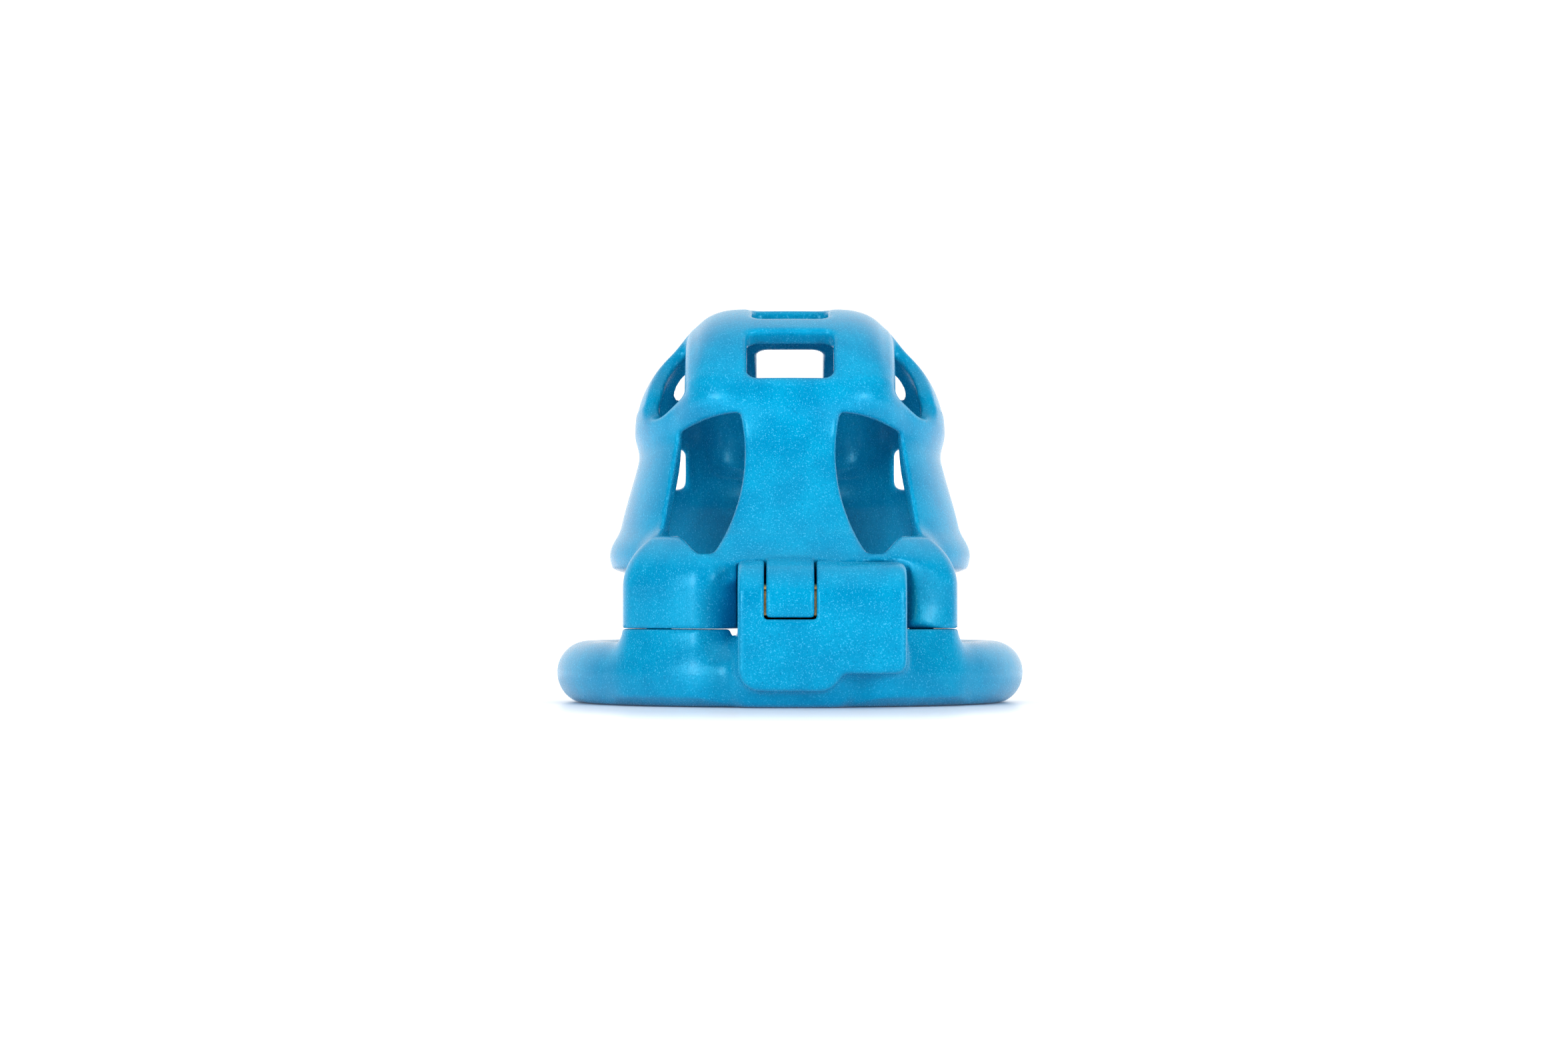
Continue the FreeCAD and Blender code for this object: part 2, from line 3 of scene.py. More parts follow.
import bpy
import numpy as np
import openvdb
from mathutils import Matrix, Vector


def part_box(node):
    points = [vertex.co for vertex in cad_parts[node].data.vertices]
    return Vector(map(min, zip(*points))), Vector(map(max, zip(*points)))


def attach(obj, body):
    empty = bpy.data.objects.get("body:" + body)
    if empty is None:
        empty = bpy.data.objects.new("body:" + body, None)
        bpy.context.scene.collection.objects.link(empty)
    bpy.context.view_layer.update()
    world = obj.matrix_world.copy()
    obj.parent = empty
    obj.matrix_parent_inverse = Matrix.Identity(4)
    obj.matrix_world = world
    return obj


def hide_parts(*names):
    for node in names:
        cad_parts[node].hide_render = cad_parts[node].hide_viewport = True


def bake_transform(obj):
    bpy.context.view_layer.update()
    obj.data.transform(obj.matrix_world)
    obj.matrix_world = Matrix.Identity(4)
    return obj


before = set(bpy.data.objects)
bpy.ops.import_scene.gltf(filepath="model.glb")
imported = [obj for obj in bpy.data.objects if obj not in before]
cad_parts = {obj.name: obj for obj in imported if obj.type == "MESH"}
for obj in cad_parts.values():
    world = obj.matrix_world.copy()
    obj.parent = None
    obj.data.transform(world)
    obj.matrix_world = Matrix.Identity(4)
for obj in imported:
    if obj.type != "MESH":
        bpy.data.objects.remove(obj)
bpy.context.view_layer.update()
mm = 0.001
print("frame loaded:", len(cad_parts), "nodes")


# The printed and turned pieces are closed forms, each written as a distance from its
# surface in millimetres: negative inside, positive outside.
def softMin(a, b, width):
    # the nearer of two surfaces, with a fillet where they meet
    h = np.clip(0.5 + 0.5 * (b - a) / width, 0, 1)
    return b + (a - b) * h - width * h * (1 - h)


def softMax(a, b, width):
    return -softMin(-a, -b, width)


def smoothStep(x, low, high):
    t = np.clip((x - low) / (high - low), 0, 1)
    return t * t * (3 - 2 * t)


def roundMax(a, b, radius):
    # the further of two surfaces, with a true round on the edge where they meet
    corner = np.hypot(np.maximum(a + radius, 0), np.maximum(b + radius, 0)) - radius
    return np.maximum(corner, np.minimum(np.maximum(a, b), -radius))


def boxDistance(offsets, halves, rounding=0.0):
    # a rounded box in any number of directions, from the offsets to its middle
    q = [np.abs(o) - h + rounding for o, h in zip(offsets, halves)]
    outside = np.sqrt(sum(np.maximum(v, 0) ** 2 for v in q))
    inside = np.minimum(np.max(np.stack(np.broadcast_arrays(*q)), axis=0), 0)
    return outside + inside - rounding


def span(value, low, high):
    return np.abs(value - (low + high) / 2) - (high - low) / 2


def ellipseDistance(offsets, radii):
    scaled = np.sqrt(sum((o / r) ** 2 for o, r in zip(offsets, radii)))
    steep = np.sqrt(sum((o / r ** 2) ** 2 for o, r in zip(offsets, radii)))
    return scaled * (scaled - 1) / np.maximum(steep, 1e-6)


def meshFromDistance(name, distance, low, high, voxel, passes=3):
    # voxels the box low..high, takes its surface, then slides every point onto the form
    axes = [np.arange(a - 2 * voxel, b + 2 * voxel, voxel) for a, b in zip(low, high)]
    samples = np.empty([len(a) for a in axes], np.float32)
    for i, x in enumerate(axes[0]):
        yy, zz = np.meshgrid(axes[1], axes[2], indexing="ij")
        samples[i] = distance(np.stack([np.full_like(yy, x), yy, zz], axis=-1))
    grid = openvdb.FloatGrid(2 * voxel)
    grid.copyFromArray(np.clip(samples, -2 * voxel, 2 * voxel))
    points, quads = grid.convertToQuads(isovalue=0.0)
    points = points.astype(float) * voxel + np.array([a[0] for a in axes])
    step = 0.05 * voxel
    for _ in range(passes):
        here = distance(points)
        slope = np.stack([(distance(points + step * e) - distance(points - step * e)) / (2 * step)
                          for e in np.eye(3)], axis=-1)
        size = np.maximum((slope ** 2).sum(-1), 0.2)
        points = points - slope * np.clip(here / size, -0.5 * voxel, 0.5 * voxel)[:, None]
    mesh = bpy.data.meshes.new(name)
    mesh.from_pydata((points * mm).tolist(), [], quads.tolist())
    mesh.validate()
    mesh.polygons.foreach_set("use_smooth", [True] * len(mesh.polygons))
    piece = bpy.data.objects.new(name, mesh)
    bpy.context.scene.collection.objects.link(piece)
    print(name, len(points), "points")
    return piece


def grownBox(node, margin=0.5):
    low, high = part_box(node)
    return [v / mm - margin for v in low], [v / mm + margin for v in high]


# places that several pieces share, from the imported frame
ringLow, ringHigh = (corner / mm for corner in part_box("base_ring"))
sleeveLow, sleeveHigh = (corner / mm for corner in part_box("lock_sleeve"))
plugLow, plugHigh = (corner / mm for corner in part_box("lock_plug"))
barRadius = 4.1
ringOuter = (ringHigh.x - ringLow.x) / 2
ringRadius = ringOuter - barRadius
ringY = ringHigh.y - ringOuter
lockY = (plugLow.y + plugHigh.y) / 2
lockZ = (plugLow.z + plugHigh.z) / 2
seamZ = 10.05


def aboutRing(p):
    return p[..., 0], p[..., 1] - ringY, p[..., 2]


def aboutLock(p):
    return p[..., 0], p[..., 1] - lockY, p[..., 2] - lockZ


# the lock housing: a slab with a half-round top about the lock, outlined by a post and a barrel
housing = {"round": 5.5, "postHalf": 6.7, "postBottom": 2.2, "postHigh": 15, "postCorner": 3.0,
           "barrelEnd": 14.8, "barrelBottom": 4.4, "barrelCorner": 1.5, "join": 0.8, "edge": 1.0,
           "slotHalf": 3.36, "slotFloor": 11.32, "slotDeep": 1.5, "slotCorner": 0.5, "slotEdge": 0.35,
           "cageGap": 0.16, "roomCorner": 0.3, "pathGap": 0.15}


def housingSection(v, w):
    # upright sides below the lock's axis and a half round above it
    return np.where(w > 0, np.hypot(v, w), np.abs(v)) - housing["round"]


def housingDistance(p):
    x, v, w = aboutLock(p)
    z = p[..., 2]
    postMiddle = housing["postBottom"] + housing["postHigh"]
    barrelMiddle = (housing["barrelBottom"] + lockZ + housing["round"]) / 2
    post = boxDistance((x, z - postMiddle), (housing["postHalf"], housing["postHigh"]),
                       housing["postCorner"])
    half = lockZ + housing["round"] - barrelMiddle
    barrel = boxDistance((x - housing["barrelEnd"] / 2, z - barrelMiddle), (housing["barrelEnd"] / 2, half),
                         housing["barrelCorner"])
    return softMax(housingSection(v, w), softMin(post, barrel, housing["join"]), housing["edge"])


def housingRoom(p):
    # the space that the cage leaves round the housing, and along the cartridge's way out
    x, v, w = aboutLock(p)
    gap = housing["cageGap"]
    section = housingSection(v, w) - gap
    room = softMax(section, span(x, -housing["postHalf"] - gap, housing["barrelEnd"] + gap),
                   housing["roomCorner"])
    path = np.maximum(np.hypot(v, w) - lockZ + sleeveLow.z - housing["pathGap"], housing["barrelEnd"] - x)
    return room, path


# the pedestals below the seam and the feet above it are one arc block on each side
foot = {"outer": 30.3, "start": 16.5, "end": 51.0, "corner": 4.4, "top": 22.4, "shoulder": 7.0,
        "blend": 4.5, "deep": 8, "inset": 5}


def footDistance(p, low, high, inner, side):
    x, y, z = aboutRing(p)
    reach = np.hypot(x, y)
    middle = math.radians((foot["start"] + foot["end"]) / 2)
    half = math.radians((foot["end"] - foot["start"]) / 2)
    turn = np.arctan2(side * x, -y) - middle
    plan = boxDistance((turn * reach, reach - (inner + foot["outer"]) / 2),
                       (half * reach, (foot["outer"] - inner) / 2), foot["corner"])
    return plan, span(z, low, high)


peg = {"radius": 1.4, "height": 2.4, "angle": math.radians(40), "circle": 26.5, "clearance": 0.25,
       "headroom": 0.6, "dome": 0.6}


def pegDistance(p, extra):
    x, y, z = aboutRing(p)
    reach = np.hypot(np.abs(x) - math.sin(peg["angle"]) * peg["circle"],
                     y + math.cos(peg["angle"]) * peg["circle"])
    return reach - peg["radius"] - extra


ring = {"flat": 0.1, "blend": 2.8, "footLow": 2.0, "footInset": 1, "footEdge": 0.35, "seamEdge": 0.3,
        "floorEdge": 0.4, "lockBlend": 2.4, "lockJoin": 0.5, "spindleBore": 2.65, "pocket": (-6.0, -4.45),
        "pocketRadius": 3.7, "lugWayHalf": 0.9, "lugReach": 3.55, "boreGap": 0.04, "grooveHalf": 0.85,
        "grooveGap": 0.1, "edge": 0.25}
neck = {"end": 7.2, "out": 26, "middle": 3.2, "halfDeep": 4.6, "halfHigh": 2.9, "corner": 1.4, "blend": 1.2}


def ringDistance(p):
    x, y, z = aboutRing(p)
    bar = np.hypot(np.hypot(x, y) - ringRadius, z - barRadius + ring["flat"]) - barRadius
    body = bar
    for side in (-1, 1):
        inner = ringRadius - barRadius + ring["footInset"]
        plan, rise = footDistance(p, ring["footLow"], seamZ, inner, side)
        body = softMin(body, softMax(plan, rise, ring["footEdge"]), ring["blend"])
    body = softMax(body, z - seamZ, ring["seamEdge"])
    neckMiddle = (neck["end"] - housing["postHalf"]) / 2
    neckHalf = (neck["end"] + housing["postHalf"]) / 2
    neckBody = boxDistance((x - neckMiddle, y + neck["out"], z - neck["middle"]),
                           (neckHalf, neck["halfDeep"], neck["halfHigh"]), neck["corner"])
    lockBody = softMin(bar, softMin(housingDistance(p), neckBody, neck["blend"]), ring["lockBlend"])
    lockBody = softMax(lockBody, z - lockZ - housing["round"], ring["seamEdge"])
    body = softMin(body, lockBody, ring["lockJoin"])
    rise = softMax(z - seamZ - peg["height"], seamZ - 1 - z, 0.2)
    body = np.minimum(body, softMax(pegDistance(p, 0.0), rise, peg["dome"]))
    body = softMax(body, -z, ring["floorEdge"])

    # the tongue's slot, then the bores for the lock
    x, v, w = aboutLock(p)
    slot = softMax(np.abs(x) - housing["slotHalf"], housing["slotFloor"] - z, housing["slotCorner"])
    slot = np.maximum(slot, np.abs(v) - housing["round"] - housing["slotDeep"])
    body = softMax(body, -slot, housing["slotEdge"])
    across = np.hypot(v, w)
    start = sleeveLow.x - ring["boreGap"]
    bore = np.maximum(across - (sleeveHigh.z - lockZ) - ring["boreGap"], start - x)
    groove = np.maximum(np.abs(v) - ring["grooveHalf"], span(w, sleeveLow.z - lockZ - ring["grooveGap"], 0))
    groove = np.maximum(groove, start - x)
    shaft = np.maximum(across - ring["spindleBore"], span(x, ring["pocket"][0], start + 0.5))
    lugWay = np.maximum(np.abs(v) - ring["lugWayHalf"], span(w, -ring["lugReach"], 0))
    lugWay = np.maximum(lugWay, span(x, ring["pocket"][1] - 0.1, start + 0.5))
    pocket = np.maximum(across - ring["pocketRadius"], span(x, *ring["pocket"]))
    for hole in (bore, groove, shaft, lugWay, pocket):
        body = softMax(body, -hole, ring["edge"])
    return body


# the cage: a tube that narrows to a collar, a dome on it, a strap over the dome, and windows
cage = {"wall": 2.8, "skirtRadius": 23.1, "skirtStart": 18.4, "rimRadius": 21.8, "rimBar": 2.2,
        "rimZ": 19.6, "rimBlend": 1.8, "gap": 0.012, "seamEdge": 0.3, "edge": 0.9,
        "headWall": (2.0, 2.0, 1.2), "domeBlend": 2.0, "hollowBlend": 1.5, "hollowEdge": 1.1,
        "wallHalf": math.radians(37), "wallTop": 21, "wallOut": 0.5, "wallBlend": 1.5,
        "roomEdge": 0.25, "pathBlend": 3.0, "windowEdge": 0.5, "tongueBlend": 0.5, "pegEdge": 0.2}
tubeHeights = [17.4, 19.8, 23.0, 27.0, 30.5, 33.4, 36.0]
tubeRadii = [23.2, 23.2, 22.7, 21.8, 20.7, 20.0, 19.6]
tubeCurve = np.polyfit(tubeHeights, tubeRadii, 3)   # a smooth profile through a few radii
head = {"z": 36.0, "back": 2.5, "lean": math.radians(11.5), "leanFrom": 21.0, "leanTo": 35.0,
        "radii": (20.8, 20.8, 16.3), "under": 7.0, "strapHalf": 13.9, "strapRadii": (21.2, 16.5),
        "strapRound": 7.5, "strapBlend": 2.4, "sink": 1.6}


def headFrame(p):
    # offsets from the head's middle, turned back by its lean
    x, y, z = aboutRing(p)
    y, z = y - head["back"], z - head["z"]
    c, s = math.cos(head["lean"]), math.sin(head["lean"])
    return x, y * c - z * s, y * s + z * c


def skinDistance(p, inset):
    # the tube and the dome, moved inwards by inset
    x, y, z = aboutRing(p)
    shift = head["back"] * smoothStep(z, 19, 37)
    height = z + (y - shift) * math.tan(head["lean"]) * smoothStep(z, head["leanFrom"], head["leanTo"])
    radius = np.polyval(tubeCurve, np.clip(height, tubeHeights[0], tubeHeights[-1]))
    tube = np.maximum((np.hypot(x, y - shift) - radius + inset) * 0.97, height - head["z"] - 1)
    offsets = headFrame(p)
    rx, ry, rz = (r - min(inset, wall) for r, wall in zip(head["radii"], cage["headWall"]))
    dome = ellipseDistance(offsets, (rx, ry, rz))
    if inset > 0:    # the strap has its own hollow, so the dome's stays outside it
        beside = head["strapHalf"] - cage["wall"] - 0.6 - np.abs(x)
        dome = softMax(dome, np.minimum(beside, 3 + offsets[2]), 0.5)
    else:   # the dome sinks under the strap, so that the two don't swell each other
        covered = smoothStep(head["strapHalf"] - np.abs(x), 0, 3)
        dome = dome + head["sink"] * covered * smoothStep(offsets[2], 3, 8)
    under = ellipseDistance(offsets, (rx, ry, head["under"] if inset == 0 else rz))
    return tube, np.where(offsets[2] > 0, dome, under)


def strapDistance(p, inset):
    x, y, z = headFrame(p)
    oval = ellipseDistance((y, z), [r - inset for r in head["strapRadii"]])
    band = softMax(oval, np.abs(x) - head["strapHalf"] + inset, max(head["strapRound"] - inset, 1))
    return softMax(band, -1.5 - z, 2.0)


front = {"arcRadius": 23.17, "arcX": 29.06, "arcZ": 32.7, "outerTop": 14.8, "outerSlope": 0.095,
         "outerTwist": 0.22, "topZ": 38.2, "topDrop": 2.5, "lowZ": 19.7, "lowRise": 2.3, "corner": 0.5}


def frontWindow(p):
    x, y, z = aboutRing(p)
    x = np.abs(x)
    spine = np.hypot(x - front["arcX"], z - front["arcZ"]) - front["arcRadius"]
    outer = x - front["outerTop"] - (head["z"] - z) * front["outerSlope"] - front["outerTwist"] * (-y - 13)
    low = front["lowZ"] + front["lowRise"] * smoothStep(x, 11.6, 14.6) - z
    top = z - front["topZ"] + front["topDrop"] * np.clip((x - 6) / 8.6, 0, 2) ** 2
    opening = softMax(softMax(spine, outer * 0.97, front["corner"]), softMax(low, top, 0.5), front["corner"])
    return np.maximum(opening, y + 6)


rear = {"back": 15.3, "z": 31.6, "half": 11.4, "halfHigh": 2.8, "corner": 1.8, "inner": 14.4, "edge": 1.2}


def rearWindow(p):
    x, y, z = aboutRing(p)
    opening = boxDistance((y - rear["back"], z - rear["z"]), (rear["half"], rear["halfHigh"]),
                          rear["corner"])
    return softMax(opening, rear["inner"] - np.abs(x), rear["edge"])


sides = {"archHalf": 4.5, "archFoot": 3.0, "frontLow": -0.3, "backLow": 5.8, "cheek": 1.6,
         "cheekOut": 17.4, "cheekWide": 3.6, "corner": 3.6, "strapEdge": 1.2}


def sideWindow(p):
    x, y, z = headFrame(p)
    x = np.abs(x)
    low = sides["frontLow"] + (sides["backLow"] - sides["frontLow"]) * smoothStep(y, -2, 2)
    low = low + sides["cheek"] * smoothStep(sides["cheekOut"] - x, 0, sides["cheekWide"])
    arch = sides["archHalf"] + sides["archFoot"] * smoothStep(-z, -9, -3)
    opening = softMax(arch - np.abs(y), low - z, sides["corner"])
    return softMax(opening, head["strapHalf"] - x, sides["strapEdge"])


# slots over the head: start and end in degrees from the lock side, half width, corner
headSlots = [(9.2, 37.0, 5.7, 1.6), (50.0, 78.0, 5.05, 1.6), (109.5, 142.0, 4.55, 1.6)]


def headSlot(p, start, end, half, corner):
    x, y, z = headFrame(p)
    turn = np.degrees(np.arctan2(z * head["radii"][1] / head["radii"][2], -y))
    reach = np.hypot(y, z)
    along = np.radians(turn - (start + end) / 2) * reach
    opening = boxDistance((x, along), (half, math.radians(end - start) / 2 * reach), corner)
    return np.maximum(opening, 6 - reach)


# the spine's front, from the housing's top up into the head: heights, and how far forward it lies
spine = {"low": lockZ + 3, "high": 41.5, "half": 11.2, "side": 4.0, "crown": 21.0, "blend": 1.6,
         "foot": 18.6, "back": 15, "endEdge": 0.6, "slope": 0.88}   # slope evens a leaning surface
spineHeights = [19.0, 20.5, 22.0, 24.0, 27.0, 30.0, 33.0, 36.0, 38.5, 41.0, 43.0]
spineFronts = [27.0, 25.7, 24.7, 23.6, 22.2, 21.1, 20.0, 19.2, 18.8, 18.3, 17.4]
spineCurve = np.polyfit(spineHeights, spineFronts, 5)


def spineDistance(p):
    x, y, z = aboutRing(p)
    reach = np.polyval(spineCurve, np.clip(z, spine["foot"], spineHeights[-1]))
    body = (-y - reach + x ** 2 / (2 * spine["crown"])) * spine["slope"]
    body = softMax(body, span(z, spine["low"], spine["high"]), spine["endEdge"])
    body = np.maximum(body, y + spine["back"])
    return softMax(body, np.abs(x) - spine["half"], spine["side"])


tongue = {"half": 3.05, "bottom": 11.56, "top": 20.5, "rootEnd": -20.5, "rootRise": 0.1, "join": 0.8,
          "edge": 0.5, "boreEdge": 0.25}


def tongueDistance(p):
    # the tongue hangs in the housing's slot and hooks over the spindle
    x, v, w = aboutLock(p)
    z = p[..., 2]
    root = np.maximum(span(p[..., 1], lockY, tongue["rootEnd"]), w - housing["round"] - tongue["rootRise"])
    body = softMin(housingSection(v, w), root, tongue["join"])
    body = softMax(body, np.abs(x) - tongue["half"], tongue["edge"])
    body = softMax(body, tongue["bottom"] - z, tongue["edge"])
    body = np.maximum(body, z - tongue["top"])
    return softMax(body, ring["spindleBore"] - np.hypot(v, w), tongue["boreEdge"])


def cageDistance(p):
    x, y, z = aboutRing(p)
    reach = np.hypot(x, y)
    tube, dome = skinDistance(p, 0.0)
    body = softMin(np.maximum(tube, cage["skirtStart"] - z), dome, cage["domeBlend"])
    rim = np.hypot(reach - cage["rimRadius"], z - cage["rimZ"]) - cage["rimBar"]
    body = softMin(body, rim, cage["rimBlend"])
    body = softMin(body, strapDistance(p, 0.0), head["strapBlend"])

    # the front wall under the spine, the feet, and the flare over the lock
    seamTop = seamZ + cage["gap"]
    sector = (np.abs(np.arctan2(x, -y)) - cage["wallHalf"]) * reach
    wall = softMax(reach - cage["skirtRadius"] - cage["wallOut"], sector, 2.0)
    wall = np.maximum(wall, z - cage["wallTop"])
    body = softMin(body, np.maximum(wall, seamTop - z), cage["wallBlend"])
    for side in (-1, 1):
        plan, rise = footDistance(p, seamTop - foot["deep"], foot["top"],
                                  cage["skirtRadius"] - foot["inset"], side)
        body = softMin(body, roundMax(plan, rise, foot["shoulder"]), foot["blend"])
    body = softMin(body, spineDistance(p), spine["blend"])
    body = softMax(body, seamTop - z, cage["seamEdge"])

    innerTube, innerDome = skinDistance(p, cage["wall"])
    hollow = softMin(innerTube, innerDome, cage["domeBlend"])
    hollow = softMin(hollow, strapDistance(p, cage["wall"]), cage["hollowBlend"])
    body = softMax(body, -hollow, cage["hollowEdge"])
    body = softMax(body, -frontWindow(p), cage["windowEdge"])
    for window in [rearWindow(p), sideWindow(p)] + [headSlot(p, *slot) for slot in headSlots]:
        body = softMax(body, -window, cage["edge"])
    room, path = housingRoom(p)
    body = softMax(softMax(body, -room, cage["roomEdge"]), -path, cage["pathBlend"])
    body = softMin(body, tongueDistance(p), cage["tongueBlend"])
    hole = np.maximum(pegDistance(p, peg["clearance"]), z - seamZ - peg["height"] - peg["headroom"])
    return softMax(body, -hole, cage["pegEdge"])


printVoxel = 0.4
cagePiece = meshFromDistance("cage_print", cageDistance, *grownBox("cage"), printVoxel)
ringPiece = meshFromDistance("ring_print", ringDistance, *grownBox("base_ring"), printVoxel)


# the lock's turned parts: a sleeve that is pushed in, the plug that the key turns, and the spindle
cartridge = {"chamfer": 0.3, "wallTop": 2.97, "wayHalf": 1.32, "stopX": 5.1, "pinRadius": 0.4,
             "plugRadius": (plugHigh.z - plugLow.z) / 2, "running": 0.04, "ribHalf": 0.75,
             "grooveHalf": 0.45, "grooveDepth": 2.0, "grooveTurn": (-14, 104), "crossX": 6.35,
             "crossRadius": 0.35}
keyway = {"start": 7.45, "half": 0.55, "high": 1.4, "low": -1.7}
wafers = [name for name in sorted(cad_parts) if name.startswith("wafer_") and "spring" not in name]


def waferMiddle(name):
    low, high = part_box(name)
    return (low.x + high.x) / 2 / mm


def sleeveDistance(p):
    x, v, w = aboutLock(p)
    across = np.hypot(v, w)
    rib = softMax(np.abs(v) - cartridge["ribHalf"], across - (lockZ - sleeveLow.z), 0.15)
    rib = np.maximum(rib, w + cartridge["plugRadius"] + 0.5)
    body = softMin(across - (sleeveHigh.z - lockZ), rib, 0.2)
    body = softMax(body, span(x, sleeveLow.x, sleeveHigh.x), cartridge["chamfer"])
    body = softMax(body, cartridge["plugRadius"] + cartridge["running"] - across, 0.15)
    wayX = span(x, waferMiddle(wafers[0]) - 1, sleeveHigh.x - 0.9)
    up = np.maximum(np.abs(v) - cartridge["wayHalf"], span(w, 0, cartridge["wallTop"]))
    out = np.maximum(np.abs(w) - cartridge["wayHalf"], span(v, -cartridge["wallTop"], 0))
    body = softMax(body, -np.maximum(np.minimum(up, out), wayX), 0.08)
    hole = np.maximum(np.hypot(x - cartridge["stopX"], w) - cartridge["pinRadius"], -v)
    return softMax(body, -hole, 0.06)


def plugDistance(p):
    x, v, w = aboutLock(p)
    across = np.hypot(v, w)
    body = softMax(across - cartridge["plugRadius"], span(x, plugLow.x, plugHigh.x), 0.25)
    mouth = 0.12 * smoothStep(x, plugHigh.x - 0.4, plugHigh.x)   # the keyway opens a little at the face
    slot = boxDistance((v, w - (keyway["high"] + keyway["low"]) / 2),
                       (keyway["half"], (keyway["high"] - keyway["low"]) / 2), 0.2) - mouth
    holes = [np.maximum(slot, keyway["start"] - x),
             np.maximum(np.maximum(np.abs(v), np.abs(w)) - 1.11, x - 7.22),
             np.hypot(x - cartridge["crossX"], v) - cartridge["crossRadius"]]
    angle = np.degrees(np.arctan2(v, -w))
    groove = np.maximum(np.abs(x - cartridge["stopX"]) - cartridge["grooveHalf"],
                        cartridge["grooveDepth"] - across)
    holes.append(np.maximum(groove, np.radians(span(angle, *cartridge["grooveTurn"])) * across))
    for name in wafers:
        width = np.abs(x - waferMiddle(name)) - 0.4
        holes.append(np.maximum(width, np.abs(v) - 1.25))
        holes.append(np.maximum(width, np.maximum(span(v, 0, 2.05), span(w, -1.3, 1.02))))
    for hole in holes:
        body = softMax(body, -hole, 0.08)
    return body


spindle = {"radius": 2.5, "flatHalf": 1.75, "barEnd": 4.38, "tenonHalf": 1.1, "tenonStart": 3.9,
           "lugHalf": 0.75, "lugEnd": -4.55, "edge": 0.2}


def spindleDistance(p):
    x, v, w = aboutLock(p)
    across = np.hypot(v, w)
    low, high = (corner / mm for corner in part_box("locking_spindle"))
    bar = softMax(across - spindle["radius"], np.abs(v) - spindle["flatHalf"], spindle["edge"])
    bar = softMax(bar, span(x, low.x, spindle["barEnd"]), 0.25)
    tenon = np.maximum(np.abs(v), np.abs(w)) - spindle["tenonHalf"]
    tenon = softMax(tenon, span(x, spindle["tenonStart"], high.x), spindle["edge"])
    lug = softMax(np.abs(v) - spindle["lugHalf"], across - (lockZ - low.z), 0.15)
    lug = softMax(lug, span(x, low.x, spindle["lugEnd"]), spindle["edge"])
    body = softMin(softMin(bar, tenon, 0.1), np.maximum(lug, w), 0.15)
    return softMax(body, cartridge["crossRadius"] - np.hypot(x - cartridge["crossX"], v), 0.06)


lockVoxel = 0.1
turned = {}
for name, node, distance, voxel in [("sleeve_turned", "lock_sleeve", sleeveDistance, lockVoxel),
                                    ("plug_turned", "lock_plug", plugDistance, 0.8 * lockVoxel),
                                    ("spindle_milled", "locking_spindle", spindleDistance, lockVoxel)]:
    turned[node] = meshFromDistance(name, distance, *grownBox(node, 0.2), voxel)


# springs and wafers repeat, so each is one tree of geometry nodes with its sizes as inputs
def newTree(name, inputs):
    tree = bpy.data.node_groups.new(name, "GeometryNodeTree")
    tree.interface.new_socket("Geometry", in_out="INPUT", socket_type="NodeSocketGeometry")
    for label, kind in inputs.items():
        tree.interface.new_socket(label, in_out="INPUT", socket_type=kind)
    tree.interface.new_socket("Geometry", in_out="OUTPUT", socket_type="NodeSocketGeometry")
    return tree, tree.nodes.new("NodeGroupInput").outputs


def addNode(tree, kind, settings=None, inputs=None, output=0):
    made = tree.nodes.new(kind)
    for key, value in (settings or {}).items():
        setattr(made, key, value)
    for key, value in (inputs or {}).items():
        if isinstance(value, bpy.types.NodeSocket):
            tree.links.new(value, made.inputs[key])
        else:
            made.inputs[key].default_value = value
    return made.outputs[output] if made.outputs else made


def finishTree(tree, geometry, material):
    solid = addNode(tree, "GeometryNodeRealizeInstances", inputs={"Geometry": geometry})
    painted = addNode(tree, "GeometryNodeSetMaterial", inputs={"Geometry": solid, "Material": material})
    addNode(tree, "NodeGroupOutput", inputs={"Geometry": painted})


def stampOut(name, tree, values, points=(), edges=()):
    # runs the tree on a small outline and keeps the result as a plain mesh
    base = bpy.data.meshes.new(name + "_outline")
    base.from_pydata(points, edges, [])
    piece = bpy.data.objects.new(name, base)
    bpy.context.scene.collection.objects.link(piece)
    modifier = piece.modifiers.new("build", "NODES")
    modifier.node_group = tree
    for item in tree.interface.items_tree:
        if item.in_out == "INPUT" and item.name in values:
            modifier[item.identifier] = values[item.name]
    evaluated = piece.evaluated_get(bpy.context.evaluated_depsgraph_get())
    mesh = bpy.data.meshes.new_from_object(evaluated)
    piece.modifiers.remove(modifier)
    piece.data = mesh
    mesh.name = name
    return piece


def makeSpringTree(material):
    number, vector = "NodeSocketFloat", "NodeSocketVector"
    tree, sizes = newTree("coilSpring", {"Coil radius": number, "Wire radius": number, "Height": number,
                                         "Turns": number, "Seat": vector})
    helix = addNode(tree, "GeometryNodeCurveSpiral", inputs={
        "Resolution": 24, "Rotations": sizes["Turns"], "Start Radius": sizes["Coil radius"],
        "End Radius": sizes["Coil radius"], "Height": sizes["Height"]})
    section = addNode(tree, "GeometryNodeCurvePrimitiveCircle",
                      inputs={"Resolution": 10, "Radius": sizes["Wire radius"]})
    wire = addNode(tree, "GeometryNodeCurveToMesh",
                   inputs={"Curve": helix, "Profile Curve": section, "Fill Caps": True})
    smooth = addNode(tree, "GeometryNodeSetShadeSmooth", inputs={"Geometry": wire, "Shade Smooth": True})
    seated = addNode(tree, "GeometryNodeTransform",
                     inputs={"Geometry": smooth, "Translation": sizes["Seat"]})
    finishTree(tree, seated, material)
    return tree


